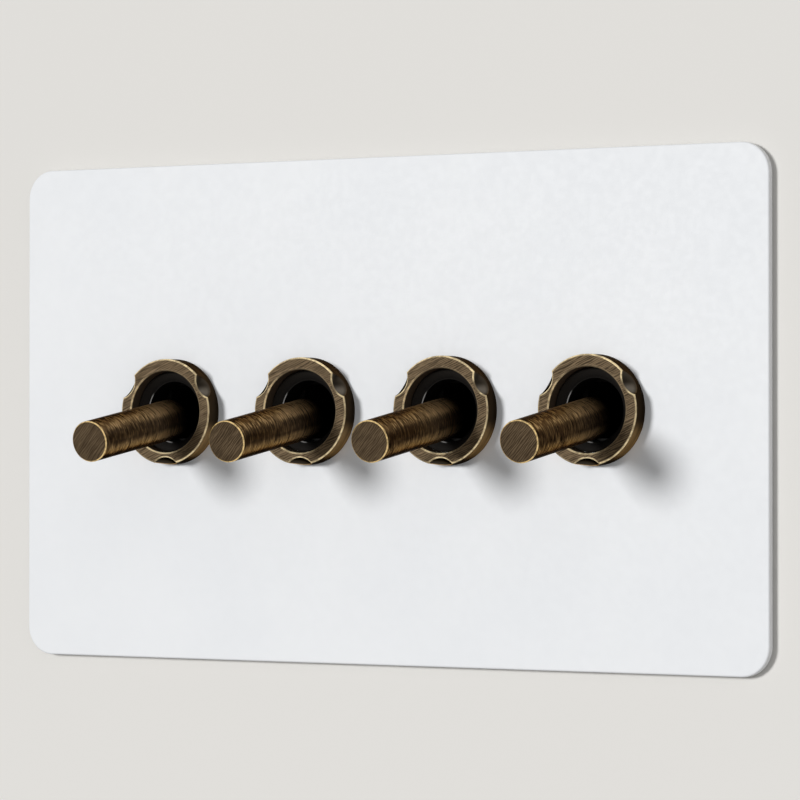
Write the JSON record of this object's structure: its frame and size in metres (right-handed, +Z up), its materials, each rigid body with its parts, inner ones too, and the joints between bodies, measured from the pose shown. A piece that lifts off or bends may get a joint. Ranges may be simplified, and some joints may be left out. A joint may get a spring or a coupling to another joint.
{
  "type": "toggle light switch",
  "caption": "Wall light switch: flat white rounded plate with a row of antique-bronze toggle levers in notched ring nuts, each tipping a rocker contact in a case behind the plate.",
  "frame": {"origin": "middle of the face plate on the surface of the wall, in the plane of the gasket's back", "axes": "+X to the right along the row of toggles seen from the front, +Y into the wall, +Z up"},
  "size_m": [0.146, 0.0546, 0.086],
  "materials": {
    "white_plate": "matt white paint on steel sheet",
    "antique_bronze": "antiqued and brushed, worn bright on the edges",
    "black_moulding": "black moulded",
    "plated_steel": "zinc plated",
    "terminal_brass": "plain brass",
    "nylon": "natural nylon",
    "spring_steel": "bright drawn wire",
    "gasket_foam": "black foam sheet"
  },
  "bodies": {
    "switch_base": {"face_plate": "white_plate", "plate_gasket": "gasket_foam", "yoke": "plated_steel", "fixing_screws": "plated_steel", "lock_nuts": "plated_steel", "pivot_pins": "plated_steel", "earth_terminal": "terminal_brass", "earth_screw": "plated_steel", "terminal_screws": "plated_steel", "ring_nut_1": "antique_bronze", "ring_nut_2": "antique_bronze", "ring_nut_3": "antique_bronze", "ring_nut_4": "antique_bronze", "front_housing_1": "black_moulding", "front_housing_2": "black_moulding", "front_housing_3": "black_moulding", "front_housing_4": "black_moulding", "rear_case_1": "black_moulding", "rear_case_2": "black_moulding", "rear_case_3": "black_moulding", "rear_case_4": "black_moulding", "common_terminal_1": "terminal_brass", "common_terminal_2": "terminal_brass", "common_terminal_3": "terminal_brass", "common_terminal_4": "terminal_brass", "upper_terminal_1": "terminal_brass", "upper_terminal_2": "terminal_brass", "upper_terminal_3": "terminal_brass", "upper_terminal_4": "terminal_brass", "lower_terminal_1": "terminal_brass", "lower_terminal_2": "terminal_brass", "lower_terminal_3": "terminal_brass", "lower_terminal_4": "terminal_brass"},
    "toggle_1": {"toggle_lever_1": "antique_bronze", "plunger_spring_1": "spring_steel"},
    "plunger_1": {"plunger_1": "nylon"},
    "rocker_1": {"rocker_contact_1": "terminal_brass"},
    "toggle_2": {"toggle_lever_2": "antique_bronze", "plunger_spring_2": "spring_steel"},
    "plunger_2": {"plunger_2": "nylon"},
    "rocker_2": {"rocker_contact_2": "terminal_brass"},
    "toggle_3": {"toggle_lever_3": "antique_bronze", "plunger_spring_3": "spring_steel"},
    "plunger_3": {"plunger_3": "nylon"},
    "rocker_3": {"rocker_contact_3": "terminal_brass"},
    "toggle_4": {"toggle_lever_4": "antique_bronze", "plunger_spring_4": "spring_steel"},
    "plunger_4": {"plunger_4": "nylon"},
    "rocker_4": {"rocker_contact_4": "terminal_brass"}
  },
  "joints": [
    {"name": "toggle_1_tilt", "type": "hinge", "parent": "switch_base", "child": "toggle_1", "pos_m": [-0.04155, 0.0053, 0], "axis": [-1, 0, 0], "range_deg": [0, 18]},
    {"name": "rocker_1_tip", "type": "hinge", "parent": "switch_base", "child": "rocker_1", "pos_m": [-0.04155, 0.01725, 0], "axis": [1, 0, 0], "range_deg": [0, 14]},
    {"name": "plunger_1_slide", "type": "slide", "parent": "toggle_1", "child": "plunger_1", "axis": [0, -0.9877, -0.1564], "range_m": [0, 0.0008], "stiffness_N_per_m": 800, "springref_m": -0.001, "deforming": ["plunger_spring_1"]},
    {"name": "toggle_2_tilt", "type": "hinge", "parent": "switch_base", "child": "toggle_2", "pos_m": [-0.01385, 0.0053, 0], "axis": [-1, 0, 0], "range_deg": [0, 18]},
    {"name": "rocker_2_tip", "type": "hinge", "parent": "switch_base", "child": "rocker_2", "pos_m": [-0.01385, 0.01725, 0], "axis": [1, 0, 0], "range_deg": [0, 14]},
    {"name": "plunger_2_slide", "type": "slide", "parent": "toggle_2", "child": "plunger_2", "axis": [0, -0.9877, -0.1564], "range_m": [0, 0.0008], "stiffness_N_per_m": 800, "springref_m": -0.001, "deforming": ["plunger_spring_2"]},
    {"name": "toggle_3_tilt", "type": "hinge", "parent": "switch_base", "child": "toggle_3", "pos_m": [0.01385, 0.0053, 0], "axis": [-1, 0, 0], "range_deg": [0, 18]},
    {"name": "rocker_3_tip", "type": "hinge", "parent": "switch_base", "child": "rocker_3", "pos_m": [0.01385, 0.01725, 0], "axis": [1, 0, 0], "range_deg": [0, 14]},
    {"name": "plunger_3_slide", "type": "slide", "parent": "toggle_3", "child": "plunger_3", "axis": [0, -0.9877, -0.1564], "range_m": [0, 0.0008], "stiffness_N_per_m": 800, "springref_m": -0.001, "deforming": ["plunger_spring_3"]},
    {"name": "toggle_4_tilt", "type": "hinge", "parent": "switch_base", "child": "toggle_4", "pos_m": [0.04155, 0.0053, 0], "axis": [-1, 0, 0], "range_deg": [0, 18]},
    {"name": "rocker_4_tip", "type": "hinge", "parent": "switch_base", "child": "rocker_4", "pos_m": [0.04155, 0.01725, 0], "axis": [1, 0, 0], "range_deg": [0, 14]},
    {"name": "plunger_4_slide", "type": "slide", "parent": "toggle_4", "child": "plunger_4", "axis": [0, -0.9877, -0.1564], "range_m": [0, 0.0008], "stiffness_N_per_m": 800, "springref_m": -0.001, "deforming": ["plunger_spring_4"]}
  ],
  "couplings": [
    {"joint": "rocker_1_tip", "follows": "toggle_1_tilt", "ratio": 0.777},
    {"joint": "rocker_2_tip", "follows": "toggle_2_tilt", "ratio": 0.777},
    {"joint": "rocker_3_tip", "follows": "toggle_3_tilt", "ratio": 0.777},
    {"joint": "rocker_4_tip", "follows": "toggle_4_tilt", "ratio": 0.777}
  ]
}
